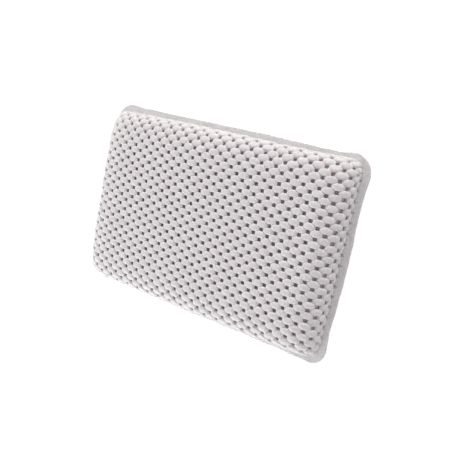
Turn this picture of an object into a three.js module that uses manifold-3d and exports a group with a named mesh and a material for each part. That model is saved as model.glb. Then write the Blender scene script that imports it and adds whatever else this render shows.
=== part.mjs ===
// Bath pillow: a foam core under an open mesh cover, which is welded round its margin to a flat back
// sheet, and eight suction cups that turn in holes of the sheet.
// Millimetres. The pillow lies on its cups with its front up: X runs along its width, Y towards its
// top edge and Z up through the front. The origin is under the middle, in the plane of the cups' rims.

import * as THREE from 'three';
import { mergeVertices } from 'three/addons/utils/BufferGeometryUtils.js';
import Module from 'manifold-3d';

const wasm = await Module();
wasm.setup();

// Cushion: the shape of the mesh, measured at the rims of its holes.
const CUSHION_WIDTH = 316;
const CUSHION_LENGTH = 207;
const CROWN_RISE = 27;
const CROWN_FALL_TO_ENDS = 2;
const CROWN_FALL_TO_SIDES = 1;
const EDGE_RADIUS = 30;
const CUSHION_CORNER_RADIUS = 22;

// Open mesh: a brick pattern of square holes with a domed pad between each hole and the next.
const NET_COLUMNS = 23;
const NET_ROWS = 23;
const NET_THICKNESS = 3;
const PAD_RISE = 2.2;
const HOLE_WIDTH_SHARE = 0.44;
const HOLE_LENGTH_SHARE = 0.66;
const PAD_RIDGE_SHARE = 0.5;

// Welded margin and the sheet under it, which has the same outline.
const MARGIN_WIDTH = 6.5;
const MARGIN_THICKNESS = 1.2;
const MARGIN_CORNER_RADIUS = 20;
const EAR_REACH = 1.5;
const EAR_BLEND = 20;
const EAR_BLEND_STEPS = 5;
const EAR_ARC_STEPS = 6;
const SHEET_THICKNESS = 0.8;

// Foam core.
const CORE_CLEARANCE = 1.2;
const CORE_SEAT = 0.3;

// Suction cups: two rows under the sheet, each held by a button head above a reinforcing ring. The
// outermost cups' axes lie at the two distances in from the cushion's ends and sides.
const CUP_COLUMNS = 4;
const CUP_ROWS = 2;
const CUP_TO_END = 44;
const CUP_TO_SIDE = 51.5;
const CUP_RADIUS = 20;
const CUP_RIM_LAND = 1.4;
const CUP_LIP = 1.2;
const CUP_HOLLOW = 6;
const CUP_HEIGHT = 10.5;
const SHOULDER_RADIUS = 7;
const SHOULDER_HEIGHT = 2.5;
const NECK_RADIUS = 3.6;
const HEAD_RADIUS = 6.5;
const HEAD_HEIGHT = 2.4;
const TAB_REACH = 7;
const TAB_WIDTH = 9;
const TAB_LIFT = 0.3;
const HOLE_CLEARANCE = 0.5;
const SEAT_CLEARANCE = 0.3;
const RING_RADIUS = 11;
const RING_THICKNESS = 0.8;
const POCKET_CLEARANCE = 0.5;
const CUP_SIDES = 20;
const RING_SIDES = 16;
const POCKET_SIDES = 12;
const OVERRUN = 2;

// Sizes that follow from the ones above. The pillow's own zero height is the top face of the sheet.
const halfWidth = CUSHION_WIDTH / 2;
const halfLength = CUSHION_LENGTH / 2;
const cupSpacingX = (CUSHION_WIDTH - 2 * CUP_TO_END) / (CUP_COLUMNS - 1);
const cupSpacingY = (CUSHION_LENGTH - 2 * CUP_TO_SIDE) / (CUP_ROWS - 1);
const sheetTop = CUP_HEIGHT + SEAT_CLEARANCE + SHEET_THICKNESS;
const cupHole = NECK_RADIUS + HOLE_CLEARANCE;
const neckTop = sheetTop + RING_THICKNESS + SEAT_CLEARANCE;
const headTop = neckTop + HEAD_HEIGHT;

const vinyl = new THREE.MeshStandardMaterial({ color: 0xe0dddf, roughness: 0.6, metalness: 0 });
const foam = new THREE.MeshStandardMaterial({ color: 0x8f858c, roughness: 0.95, metalness: 0 });
const sheeting = new THREE.MeshStandardMaterial({ color: 0xcfcccf, roughness: 0.4, metalness: 0 });
const softVinyl = new THREE.MeshStandardMaterial({ color: 0xdfe3e6, roughness: 0.25, metalness: 0 });

// Closed surface from a list of triangles, each three points in anticlockwise order seen from outside.
function solidFromTriangles(triangles) {
  const geometry = new THREE.BufferGeometry();
  const places = triangles.flatMap((triangle) => triangle.flatMap((point) => point.toArray()));
  geometry.setAttribute('position', new THREE.Float32BufferAttribute(places, 3));
  return mergeVertices(geometry);
}

function toManifold(geometry) {
  const bare = geometry.clone();
  bare.deleteAttribute('normal');
  bare.deleteAttribute('uv');
  const merged = mergeVertices(bare);
  return new wasm.Manifold(new wasm.Mesh({
    numProp: 3,
    vertProperties: new Float32Array(merged.attributes.position.array),
    triVerts: new Uint32Array(merged.index.array),
  }));
}

function fromManifold(manifold) {
  const mesh = manifold.getMesh();
  const geometry = new THREE.BufferGeometry();
  geometry.setAttribute('position', new THREE.Float32BufferAttribute(mesh.vertProperties, 3));
  geometry.setIndex(new THREE.Uint32BufferAttribute(mesh.triVerts, 1));
  return geometry;
}

// One edge of the cushion in section: flat as far as the rounding, then a quarter turn down to the
// foot. The share runs from -1 to 1, foot to foot, measured along the mesh.
function alongSection(share, halfSize, wallHeight, inset) {
  const flat = halfSize - EDGE_RADIUS;
  const turn = (EDGE_RADIUS + wallHeight) / 2 * Math.PI / 2;
  const travelled = Math.abs(share) * (flat + turn);
  const angle = Math.max(0, travelled - flat) / turn * Math.PI / 2;
  const place = Math.min(travelled, flat) + (EDGE_RADIUS - inset) * Math.sin(angle);
  return { place: Math.sign(share) * place, fall: Math.max(0, Math.cos(angle)) };
}

// Draws the square corner of a rectangle in to a round one, and leaves the rest where it is.
function drawInCorner(x, y, halfX, halfY, radius) {
  const centreX = halfX - radius;
  const centreY = halfY - radius;
  const u = Math.max(0, Math.abs(x) - centreX) / radius;
  const v = Math.max(0, Math.abs(y) - centreY) / radius;
  if (u === 0 || v === 0) {
    return [x, y];
  }
  const roundX = centreX + radius * u * Math.sqrt(1 - v * v / 2);
  const roundY = centreY + radius * v * Math.sqrt(1 - u * u / 2);
  return [Math.sign(x) * roundX, Math.sign(y) * roundY];
}

// A point of the cushion's surface, or of a layer that lies inset below it and stands on footHeight.
function cushionPoint(shareX, shareY, inset, footHeight) {
  const sectionX = alongSection(shareX, halfWidth, CROWN_RISE - CROWN_FALL_TO_ENDS, inset);
  const sectionY = alongSection(shareY, halfLength, CROWN_RISE - CROWN_FALL_TO_SIDES, inset);
  const [x, y] = drawInCorner(
    sectionX.place,
    sectionY.place,
    halfWidth - inset,
    halfLength - inset,
    CUSHION_CORNER_RADIUS - inset,
  );
  const crown = CROWN_RISE
    - CROWN_FALL_TO_ENDS * (x / halfWidth) ** 2
    - CROWN_FALL_TO_SIDES * (y / halfLength) ** 2;
  const top = MARGIN_THICKNESS + crown - inset;
  return new THREE.Vector3(x, y, footHeight + (top - footHeight) * sectionX.fall * sectionY.fall);
}

// The foot of a layer as a loop, anticlockwise, with one point at each edge between two cells.
function footLoop(layer) {
  const loop = [];
  for (let i = 0; i < NET_COLUMNS; i += 1) {
    loop.push(layer(columnShare(i), -1));
  }
  for (let j = 0; j < NET_ROWS; j += 1) {
    loop.push(layer(1, rowShare(j)));
  }
  for (let i = NET_COLUMNS; i > 0; i -= 1) {
    loop.push(layer(columnShare(i), 1));
  }
  for (let j = NET_ROWS; j > 0; j -= 1) {
    loop.push(layer(-1, rowShare(j)));
  }
  return loop;
}

function columnShare(column) {
  return 2 * column / NET_COLUMNS - 1;
}

function rowShare(row) {
  return 2 * row / NET_ROWS - 1;
}

// The pattern of the mesh. A cell of the net holds either a hole or a pad, in turn.
function isHole(column, row) {
  const inside = column >= 0 && column < NET_COLUMNS && row >= 0 && row < NET_ROWS;
  return inside && (column + row) % 2 === 1;
}

function holeCorners(column, row) {
  const left = columnShare(column + (1 - HOLE_WIDTH_SHARE) / 2);
  const right = columnShare(column + (1 + HOLE_WIDTH_SHARE) / 2);
  const low = rowShare(row + (1 - HOLE_LENGTH_SHARE) / 2);
  const high = rowShare(row + (1 + HOLE_LENGTH_SHARE) / 2);
  return [[left, low], [right, low], [right, high], [left, high]];
}

function cellCorners(column, row) {
  const left = columnShare(column);
  const right = columnShare(column + 1);
  const low = rowShare(row);
  const high = rowShare(row + 1);
  return [[left, low], [right, low], [right, high], [left, high]];
}

// The outline of a pad, anticlockwise: on each of its four sides it takes the near edge of the hole
// there, or at the foot of the cushion the edge of its own cell.
function padOutline(column, row) {
  const own = cellCorners(column, row);
  const below = isHole(column, row - 1) ? holeCorners(column, row - 1) : null;
  const right = isHole(column + 1, row) ? holeCorners(column + 1, row) : null;
  const above = isHole(column, row + 1) ? holeCorners(column, row + 1) : null;
  const left = isHole(column - 1, row) ? holeCorners(column - 1, row) : null;
  const sides = [
    below ? [below[3], below[2]] : [own[0], own[1]],
    right ? [right[0], right[3]] : [own[1], own[2]],
    above ? [above[1], above[0]] : [own[2], own[3]],
    left ? [left[2], left[1]] : [own[3], own[0]],
  ];
  const corners = sides.flat();
  return corners.filter((corner, k) => {
    const next = corners[(k + 1) % corners.length];
    return corner[0] !== next[0] || corner[1] !== next[1];
  });
}

// The strips that join a hole of the outermost cells to the foot of the cushion.
function edgeStrips(column, row) {
  const hole = holeCorners(column, row);
  const own = cellCorners(column, row);
  const strips = [];
  if (row === 0) {
    strips.push([own[0], own[1], hole[1], hole[0]]);
  }
  if (column === NET_COLUMNS - 1) {
    strips.push([own[1], own[2], hole[2], hole[1]]);
  }
  if (row === NET_ROWS - 1) {
    strips.push([own[2], own[3], hole[3], hole[2]]);
  }
  if (column === 0) {
    strips.push([own[3], own[0], hole[0], hole[3]]);
  }
  return strips;
}

// Flat fan over an outline, on one layer of the mesh.
function fan(outline, layer, facingOut) {
  const points = outline.map(([shareX, shareY]) => layer(shareX, shareY));
  const triangles = [];
  for (let k = 1; k < points.length - 1; k += 1) {
    triangles.push(facingOut
      ? [points[0], points[k], points[k + 1]]
      : [points[0], points[k + 1], points[k]]);
  }
  return triangles;
}

// Domed pad: its outline lies on the outer layer and rises to a short ridge along its middle.
function dome(column, row, outer, crest) {
  const outline = padOutline(column, row);
  const middle = columnShare(column + 1 / 2);
  const ridgeRow = rowShare(row + 1 / 2);
  const leftEnd = crest(columnShare(column + (1 - PAD_RIDGE_SHARE) / 2), ridgeRow);
  const rightEnd = crest(columnShare(column + (1 + PAD_RIDGE_SHARE) / 2), ridgeRow);
  const triangles = [];
  outline.forEach((corner, k) => {
    const next = outline[(k + 1) % outline.length];
    const from = outer(...corner);
    const to = outer(...next);
    const fromEnd = corner[0] < middle ? leftEnd : rightEnd;
    const toEnd = next[0] < middle ? leftEnd : rightEnd;
    triangles.push([from, to, toEnd]);
    if (fromEnd !== toEnd) {
      triangles.push([from, toEnd, fromEnd]);
    }
  });
  return triangles;
}

function holeWalls(column, row, outer, inner) {
  const corners = holeCorners(column, row);
  return corners.flatMap((corner, k) => {
    const next = corners[(k + 1) % corners.length];
    return [
      [outer(...corner), outer(...next), inner(...next)],
      [outer(...corner), inner(...next), inner(...corner)],
    ];
  });
}

// Flat ring between two loops that go round the middle, given anticlockwise and facing up.
function ringBetween(outerLoop, innerLoop) {
  const outerPoints = startAtZeroAngle(outerLoop);
  const innerPoints = startAtZeroAngle(innerLoop);
  const triangles = [];
  let i = 0;
  let j = 0;
  while (i < outerPoints.length || j < innerPoints.length) {
    const outerHere = outerPoints[i % outerPoints.length];
    const innerHere = innerPoints[j % innerPoints.length];
    const outerNext = outerPoints[(i + 1) % outerPoints.length];
    const innerNext = innerPoints[(j + 1) % innerPoints.length];
    const outerAngle = i < outerPoints.length ? turnTo(outerNext, i + 1, outerPoints.length) : Infinity;
    const innerAngle = j < innerPoints.length ? turnTo(innerNext, j + 1, innerPoints.length) : Infinity;
    if (outerAngle <= innerAngle) {
      triangles.push([outerHere, outerNext, innerHere]);
      i += 1;
    } else {
      triangles.push([outerHere, innerNext, innerHere]);
      j += 1;
    }
  }
  return triangles;
}

function angleOf(point) {
  return (Math.atan2(point.y, point.x) + 2 * Math.PI) % (2 * Math.PI);
}

function startAtZeroAngle(loop) {
  const first = loop.reduce((best, point, k) => (angleOf(point) < angleOf(loop[best]) ? k : best), 0);
  return [...loop.slice(first), ...loop.slice(0, first)];
}

function turnTo(point, count, total) {
  return angleOf(point) + (count >= total ? 2 * Math.PI : 0);
}

// Outline of the margin and the sheet: straight sides and rounded corners that stand out as ears.
function marginOutline() {
  const centreX = halfWidth + MARGIN_WIDTH - MARGIN_CORNER_RADIUS;
  const centreY = halfLength + MARGIN_WIDTH - MARGIN_CORNER_RADIUS;
  const signs = [[1, 1], [-1, 1], [-1, -1], [1, -1]];
  return signs.flatMap(([signX, signY], quarter) => {
    const centre = new THREE.Vector2(signX * centreX, signY * centreY);
    const start = quarter * Math.PI / 2;
    const points = [];
    for (let k = EAR_BLEND_STEPS; k > 0; k -= 1) {
      points.push(earBlend(centre, start, -k / EAR_BLEND_STEPS));
    }
    for (let k = 0; k <= EAR_ARC_STEPS; k += 1) {
      points.push(earPoint(centre, start + k / EAR_ARC_STEPS * Math.PI / 2, EAR_REACH));
    }
    for (let k = 1; k <= EAR_BLEND_STEPS; k += 1) {
      points.push(earBlend(centre, start + Math.PI / 2, k / EAR_BLEND_STEPS));
    }
    return points;
  });
}

function earPoint(centre, angle, reach) {
  const radius = MARGIN_CORNER_RADIUS + reach;
  return new THREE.Vector2(centre.x + radius * Math.cos(angle), centre.y + radius * Math.sin(angle));
}

// A point of the side beside an ear, a share of the blend's length before or after the arc.
function earBlend(centre, angle, share) {
  const reach = EAR_REACH * (1 + Math.cos(Math.PI * share)) / 2;
  const along = new THREE.Vector2(-Math.sin(angle), Math.cos(angle));
  return earPoint(centre, angle, reach).addScaledVector(along, EAR_BLEND * share);
}

// The cover in one piece: the net over the cushion, and its margin pressed flat round the foot.
function meshCover() {
  const outer = (shareX, shareY) => cushionPoint(shareX, shareY, 0, MARGIN_THICKNESS);
  const inner = (shareX, shareY) => cushionPoint(shareX, shareY, NET_THICKNESS, 0);
  const crest = (shareX, shareY) => cushionPoint(shareX, shareY, -PAD_RISE, MARGIN_THICKNESS);
  const triangles = [];
  for (let column = 0; column < NET_COLUMNS; column += 1) {
    for (let row = 0; row < NET_ROWS; row += 1) {
      if (isHole(column, row)) {
        triangles.push(...holeWalls(column, row, outer, inner));
        for (const strip of edgeStrips(column, row)) {
          triangles.push(...fan(strip, outer, true), ...fan(strip, inner, false));
        }
      } else {
        triangles.push(...dome(column, row, outer, crest));
        triangles.push(...fan(padOutline(column, row), inner, false));
      }
    }
  }
  triangles.push(...flatMargin(footLoop(outer), footLoop(inner)));
  return solidFromTriangles(triangles);
}

function flatMargin(outerFoot, innerFoot) {
  const outline = marginOutline();
  const upper = outline.map((point) => new THREE.Vector3(point.x, point.y, MARGIN_THICKNESS));
  const lower = outline.map((point) => new THREE.Vector3(point.x, point.y, 0));
  const underside = ringBetween(lower, innerFoot).map(([a, b, c]) => [a, c, b]);
  const edge = upper.flatMap((point, k) => {
    const next = (k + 1) % upper.length;
    return [[lower[k], lower[next], upper[next]], [lower[k], upper[next], point]];
  });
  return [...ringBetween(upper, outerFoot), ...underside, ...edge];
}

// Foam core: it fills the cover and has a pocket in its underside for each cup's head and ring.
function foamCore() {
  const layer = (shareX, shareY) => (
    cushionPoint(shareX, shareY, NET_THICKNESS + CORE_CLEARANCE, CORE_SEAT)
  );
  const triangles = [];
  for (let column = 0; column < NET_COLUMNS; column += 1) {
    for (let row = 0; row < NET_ROWS; row += 1) {
      triangles.push(...fan(cellCorners(column, row), layer, true));
    }
  }
  const foot = footLoop(layer);
  const middle = new THREE.Vector3(0, 0, CORE_SEAT);
  foot.forEach((point, k) => triangles.push([middle, foot[(k + 1) % foot.length], point]));
  const pocketTop = headTop - sheetTop + POCKET_CLEARANCE;
  const pocketRadius = RING_RADIUS + POCKET_CLEARANCE;
  const depth = pocketTop + OVERRUN;
  const pocket = new THREE.CylinderGeometry(pocketRadius, pocketRadius, depth, POCKET_SIDES)
    .rotateX(Math.PI / 2)
    .translate(0, 0, pocketTop - depth / 2);
  let core = toManifold(solidFromTriangles(triangles));
  for (const [x, y] of cupPlaces()) {
    core = core.subtract(toManifold(pocket.clone().translate(x, y, 0)));
  }
  return fromManifold(core);
}

function cupPlaces() {
  const places = [];
  for (let row = 0; row < CUP_ROWS; row += 1) {
    for (let column = 0; column < CUP_COLUMNS; column += 1) {
      const x = (column - (CUP_COLUMNS - 1) / 2) * cupSpacingX;
      const y = (row - (CUP_ROWS - 1) / 2) * cupSpacingY;
      places.push([x, y]);
    }
  }
  return places;
}

function backSheet() {
  const shape = new THREE.Shape(marginOutline());
  for (const [x, y] of cupPlaces()) {
    const hole = new THREE.Path();
    hole.absarc(x, y, cupHole, 0, 2 * Math.PI, true);
    shape.holes.push(new THREE.Path(hole.getSpacedPoints(CUP_SIDES).slice(0, -1)));
  }
  return new THREE.ExtrudeGeometry(shape, { depth: SHEET_THICKNESS, bevelEnabled: false, steps: 1 })
    .translate(0, 0, -SHEET_THICKNESS);
}

function cupRing() {
  const profile = [
    new THREE.Vector2(cupHole, 0),
    new THREE.Vector2(RING_RADIUS, 0),
    new THREE.Vector2(RING_RADIUS, RING_THICKNESS),
    new THREE.Vector2(cupHole, RING_THICKNESS),
    new THREE.Vector2(cupHole, 0),
  ];
  return new THREE.LatheGeometry(profile, RING_SIDES).rotateX(Math.PI / 2);
}

// Suction cup in one moulding: thin domed skirt, shoulder under the sheet, neck, button head and a
// tab on the lip for pulling it off.
function suctionCup() {
  const skirt = toManifold(new THREE.LatheGeometry(cupProfile(), CUP_SIDES).rotateX(Math.PI / 2));
  return fromManifold(skirt.add(toManifold(releaseTab())));
}

function cupProfile() {
  const hollowRadius = CUP_RADIUS - CUP_RIM_LAND;
  const shoulderFoot = CUP_HEIGHT - SHOULDER_HEIGHT;
  const points = [];
  for (const share of [0, 0.4, 0.75, 1]) {
    points.push(new THREE.Vector2(hollowRadius * share, CUP_HOLLOW * (1 - share * share)));
  }
  points.push(new THREE.Vector2(CUP_RADIUS, 0));
  for (const share of [1, 0.7, 0.35, 0]) {
    const radius = SHOULDER_RADIUS + (CUP_RADIUS - SHOULDER_RADIUS) * share;
    points.push(new THREE.Vector2(radius, CUP_LIP + (shoulderFoot - CUP_LIP) * (1 - share * share)));
  }
  points.push(new THREE.Vector2(SHOULDER_RADIUS, CUP_HEIGHT));
  points.push(new THREE.Vector2(NECK_RADIUS, CUP_HEIGHT));
  points.push(new THREE.Vector2(NECK_RADIUS, neckTop));
  points.push(new THREE.Vector2(HEAD_RADIUS, neckTop));
  points.push(new THREE.Vector2(HEAD_RADIUS, neckTop + HEAD_HEIGHT / 3));
  points.push(new THREE.Vector2(HEAD_RADIUS * 2 / 3, headTop));
  points.push(new THREE.Vector2(0, headTop));
  return points;
}

function releaseTab() {
  const root = CUP_RADIUS - CUP_RIM_LAND / 2;
  const end = CUP_RADIUS + TAB_REACH - TAB_WIDTH / 2;
  const tongue = new THREE.Shape();
  tongue.moveTo(root, -TAB_WIDTH / 2);
  tongue.lineTo(end, -TAB_WIDTH / 2);
  tongue.absarc(end, 0, TAB_WIDTH / 2, -Math.PI / 2, Math.PI / 2, false);
  tongue.lineTo(root, TAB_WIDTH / 2);
  const thickness = CUP_LIP - TAB_LIFT;
  return new THREE.ExtrudeGeometry(tongue, { depth: thickness, bevelEnabled: false, curveSegments: 6 })
    .translate(0, 0, TAB_LIFT);
}

function namedMesh(name, geometry, material) {
  const mesh = new THREE.Mesh(geometry, material);
  mesh.name = name;
  return mesh;
}

const group = new THREE.Group();
const pillow = new THREE.Group();
pillow.position.z = sheetTop;
pillow.add(namedMesh('mesh_cover', meshCover(), vinyl));
pillow.add(namedMesh('foam_core', foamCore(), foam));
pillow.add(namedMesh('back_sheet', backSheet(), sheeting));
group.add(pillow);

const ringGeometry = cupRing();
const cupGeometry = suctionCup();
cupPlaces().forEach(([x, y], k) => {
  const ring = namedMesh(`cup_ring_${k + 1}`, ringGeometry, sheeting);
  ring.position.set(x, y, 0);
  pillow.add(ring);
  const cup = namedMesh(`suction_cup_${k + 1}`, cupGeometry, softVinyl);
  cup.position.set(x, y, 0);
  cup.rotation.z = Math.sign(y) * Math.PI / 2;
  group.add(cup);
});

export default group;
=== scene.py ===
# %% [markdown]
# # A bath pillow
# The pillow is a foam cushion under an open net of foamed vinyl. The net is welded round its margin to
# a flat vinyl sheet, and eight suction cups turn in holes of that sheet.
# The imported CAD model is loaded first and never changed. Each piece made below goes where the CAD says,
# in metres: X along the pillow, Y towards its top edge, Z up through its front.

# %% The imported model, and the size that it has
import math

import bmesh
import bpy
import numpy as np
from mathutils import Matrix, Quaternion, Vector


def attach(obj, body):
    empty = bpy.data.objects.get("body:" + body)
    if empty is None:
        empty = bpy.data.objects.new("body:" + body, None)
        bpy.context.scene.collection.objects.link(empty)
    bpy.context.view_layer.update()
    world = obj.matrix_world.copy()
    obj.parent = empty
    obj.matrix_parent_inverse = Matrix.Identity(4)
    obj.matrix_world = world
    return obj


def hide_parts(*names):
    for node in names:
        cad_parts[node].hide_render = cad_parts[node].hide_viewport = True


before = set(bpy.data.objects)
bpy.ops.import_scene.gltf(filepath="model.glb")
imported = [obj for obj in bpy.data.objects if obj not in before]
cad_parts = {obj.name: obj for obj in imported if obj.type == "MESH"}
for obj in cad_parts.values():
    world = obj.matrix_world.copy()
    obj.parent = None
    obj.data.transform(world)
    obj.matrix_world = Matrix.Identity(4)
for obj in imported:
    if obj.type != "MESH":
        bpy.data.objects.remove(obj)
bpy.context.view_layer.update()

MM = 0.001
TINY = 1e-6
UP = Vector((0, 0, 1))

# %% [markdown]
# ## The camera
# The camera comes first, because every look at a piece is through it. The photograph was taken from
# above the pillow's right end with the camera turned almost on its side. So the camera is aimed along a
# line and then rolled about that line, which keeps where it looks apart from how it is held. The numbers
# were fitted to the outline of the pillow and to the rows of its holes.

# %% The camera at the photograph's place
CAMERA_PLACE = Vector((0.313754, 0.104318, 0.540895))
CAMERA_AIM = Vector((0.035415, 0.002444, 0.030))
CAMERA_ROLL = math.radians(-95.893)
LENS_MM = 42.60


def new_piece(name, data):
    piece = bpy.data.objects.new(name, data)
    bpy.context.collection.objects.link(piece)
    return piece


def set_up(thing, **settings):
    for name, value in settings.items():
        setattr(thing, name, value)
    return thing


lens = set_up(bpy.data.cameras.new("studio_camera"), lens=LENS_MM, sensor_width=36, clip_start=0.01)
aimed = (CAMERA_AIM - CAMERA_PLACE).to_track_quat("-Z", "Y")
camera = set_up(new_piece("studio_camera", lens), location=CAMERA_PLACE, rotation_mode="QUATERNION",
                rotation_quaternion=aimed @ Quaternion(UP, CAMERA_ROLL))
bpy.context.scene.camera = camera
print("camera is", round((CAMERA_AIM - CAMERA_PLACE).length, 3), "m from what it looks at")

# %% [markdown]
# ## The skin that the net is drawn over
# On the real pillow a flat net is pulled over a block of foam. So every point of the net has an address
# along the net from its middle (u along the pillow, v towards its top edge), and a place in space. The
# net is drawn flat, in plain rows of u and v, and bent over the cushion afterwards, as in the factory.
# In section the skin runs flat, turns down in a rounded corner a little squarer than a quarter of an
# ellipse, and beyond the foot runs out flat again as the welded margin. The length along that curve is
# measured once in short steps and looked up.
# The photographed pillow isn't even: its foot is drawn in under it, and its corners and left end are
# slack and lie lower. A few lengths of their own say by how much.

# %% Sizes of the cushion, in metres
CUSHION_HALF = np.array([158, 103.5]) * MM
EDGE_ROUNDING = 30 * MM
EDGE_SQUARENESS = 2.25
CROWN_RISE = 27 * MM
CROWN_FALL = np.array([2, 1]) * MM
CORNER_FALL = 10 * MM
LEFT_FALL = 2.4 * MM
LEFT_FALL_REACH = (0.74, 1.02)
CUSHION_CORNER = 14 * MM
MARGIN_WIDTH = 6.5 * MM
MARGIN_CORNER = 20 * MM
MARGIN_THICKNESS = 1.2 * MM
EAR_REACH = 1.5 * MM
EAR_BLEND = 20 * MM
SHEET_THICKNESS = 0.8 * MM
SHEET_TOP = 11.6 * MM
FOOT = SHEET_TOP + MARGIN_THICKNESS
# How far the foot is drawn in under the cushion, at stations along its top and bottom and at its ends.
TUCK_HEIGHT = 16 * MM
TUCK_PLACES = np.array([-160, -110, -60, -10, 35, 75, 115, 160]) * MM
TUCK_TOP = np.array([1.6, 0.8, 1.4, 2.0, 3.4, 4.8, 4.0, 1.6]) * MM
TUCK_BOTTOM = np.array([3.2, 2.6, 2.0, 2.0, 2.0, 2.0, 2.2, 2.4]) * MM
TUCK_LEFT = 1.3 * MM
TUCK_RIGHT = 2.8 * MM
TUCK_END_REACH = (0.80, 0.96)
TUCK_SIDE_REACH = (0.70, 0.94)


def measure_section(side):
    """A table of one section: distance along the skin, place across, share of the height left."""
    angle = np.linspace(0, math.pi / 2, 241)
    across = CUSHION_HALF[side] - EDGE_ROUNDING * (1 - np.sin(angle) ** (2 / EDGE_SQUARENESS))
    left = np.cos(angle).clip(0) ** (2 / EDGE_SQUARENESS)
    across, left = np.append(0, across), np.append(1, left)
    rise = (CROWN_RISE - CROWN_FALL[side]) * left
    steps = np.hypot(np.diff(across), np.diff(rise))
    return np.append(0, np.cumsum(steps)), across, left


section_tables = [measure_section(side) for side in (0, 1)]
skin_half = np.array([table[0][-1] for table in section_tables])
print("the net covers", (skin_half * 2 / MM).round(1), "mm before its margin")


# %% From an address on the net to a place in space
def smooth_step(low, high, value):
    """0 up to the low value, 1 from the high value on, and a soft slope between them."""
    share = np.clip((value - low) / (high - low), 0, 1)
    return share * share * (3 - 2 * share)


def past_the_foot(u, v):
    """How far an address lies outside the foot of the cushion; less than zero inside it."""
    return np.maximum(np.abs(u) - skin_half[0], np.abs(v) - skin_half[1])


def along_section(distance, side):
    """Place across the pillow, and the share of the height that is left there."""
    travelled, across, left = section_tables[side]
    past_foot = np.maximum(np.abs(distance) - skin_half[side], 0)
    place = np.interp(np.abs(distance), travelled, across) + past_foot
    return np.sign(distance) * place, np.interp(np.abs(distance), travelled, left)


def round_off(x, y, half_x, half_y, radius):
    """Draws the square corners of a rectangle in to round ones."""
    across = np.maximum(0, np.abs(x) - (half_x - radius)) / radius
    along = np.maximum(0, np.abs(y) - (half_y - radius)) / radius
    in_corner = (across > 0) & (along > 0)
    new_x = half_x - radius + radius * across * np.sqrt(1 - np.minimum(along, 1) ** 2 / 2)
    new_y = half_y - radius + radius * along * np.sqrt(1 - np.minimum(across, 1) ** 2 / 2)
    return np.where(in_corner, np.sign(x) * new_x, x), np.where(in_corner, np.sign(y) * new_y, y)


def skin_point(u, v):
    """Place in space of an address on the net, before the simulation moves it."""
    level = past_the_foot(u, v)
    past = np.maximum(level, 0)
    x, left_x = along_section(u, 0)
    y, left_y = along_section(v, 1)
    radius = CUSHION_CORNER + (MARGIN_CORNER - CUSHION_CORNER) * np.minimum(past / MARGIN_WIDTH, 1)
    x, y = round_off(x, y, CUSHION_HALF[0] + past, CUSHION_HALF[1] + past, radius)
    share_x, share_y = x / CUSHION_HALF[0], y / CUSHION_HALF[1]
    crown = CROWN_RISE - CROWN_FALL[0] * share_x ** 2 - CROWN_FALL[1] * share_y ** 2
    crown = crown - CORNER_FALL * share_x ** 4 * share_y ** 4
    crown = crown - LEFT_FALL * smooth_step(*LEFT_FALL_REACH, -share_x)
    height = FOOT + crown * left_x * left_y
    drawn_in = smooth_step(-TUCK_HEIGHT, 0, level) * np.clip(1 - past / MARGIN_WIDTH, 0, 1)
    end_tuck = np.where(x > 0, TUCK_RIGHT, -TUCK_LEFT) * smooth_step(*TUCK_END_REACH, np.abs(share_x))
    side_tuck = np.where(y > 0, np.interp(x, TUCK_PLACES, TUCK_TOP), -np.interp(x, TUCK_PLACES, TUCK_BOTTOM))
    side_tuck = side_tuck * smooth_step(*TUCK_SIDE_REACH, np.abs(share_y))
    return np.stack([x - end_tuck * drawn_in, y - side_tuck * drawn_in, height], axis=-1)


print("top of the cushion at z =", round(float(skin_point(0.0, 0.0)[2]) / MM, 1), "mm")

# %% [markdown]
# ## Letting the cushion fill out
# A stuffed cover's sides belly out between its corners, and its corners stay tight. Cloth simulation
# finds that shape. A coarse copy of the skin is held at its foot, and on the front, where the foam backs
# it. Gravity is off, and a pressure inside pushes the walls out for a few frames. Their cloth has a few
# parts in a hundred of slack, as the real cover is cut a little larger than its foam.
# What is kept is how far each point moved, limited to a few millimetres, so that the fine net can
# follow it.

# %% A coarse skin to simulate
SKIN_NODES = (61, 43)
FURTHEST_MOVE = 2.6 * MM
COVER_SLACK = 0.03
FILLING_PRESSURE = 20000
FILLING_FRAMES = 22
FOAM_HOLDS_FROM = 0.8

line_u = np.linspace(-skin_half[0], skin_half[0], SKIN_NODES[0])
line_v = np.linspace(-skin_half[1], skin_half[1], SKIN_NODES[1])
grid_u, grid_v = np.meshgrid(line_u, line_v, indexing="ij")
plain_skin = skin_point(grid_u, grid_v)


def unit(vectors):
    return vectors / np.maximum(np.linalg.norm(vectors, axis=-1, keepdims=True), 1e-12)


def facing(skin):
    """Directions straight out of a grid of points, evened out a little."""
    out = np.cross(np.gradient(skin, axis=0), np.gradient(skin, axis=1))
    has_direction = np.linalg.norm(out, axis=-1, keepdims=True) > 1e-9
    out = np.where(has_direction, unit(out), np.array(UP))
    for _ in range(2):
        wide = np.pad(out, ((1, 1), (1, 1), (0, 0)), mode="edge")
        out = unit(wide[:-2, 1:-1] + wide[2:, 1:-1] + wide[1:-1, :-2] + wide[1:-1, 2:] + 2 * out)
    return out


def grid_faces(rows, columns):
    first = (np.arange(rows - 1)[:, None] * columns + np.arange(columns - 1)[None, :]).ravel()
    return np.stack([first, first + columns, first + columns + 1, first + 1], axis=-1).tolist()


print("simulated skin has", grid_u.size, "points")


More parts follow.
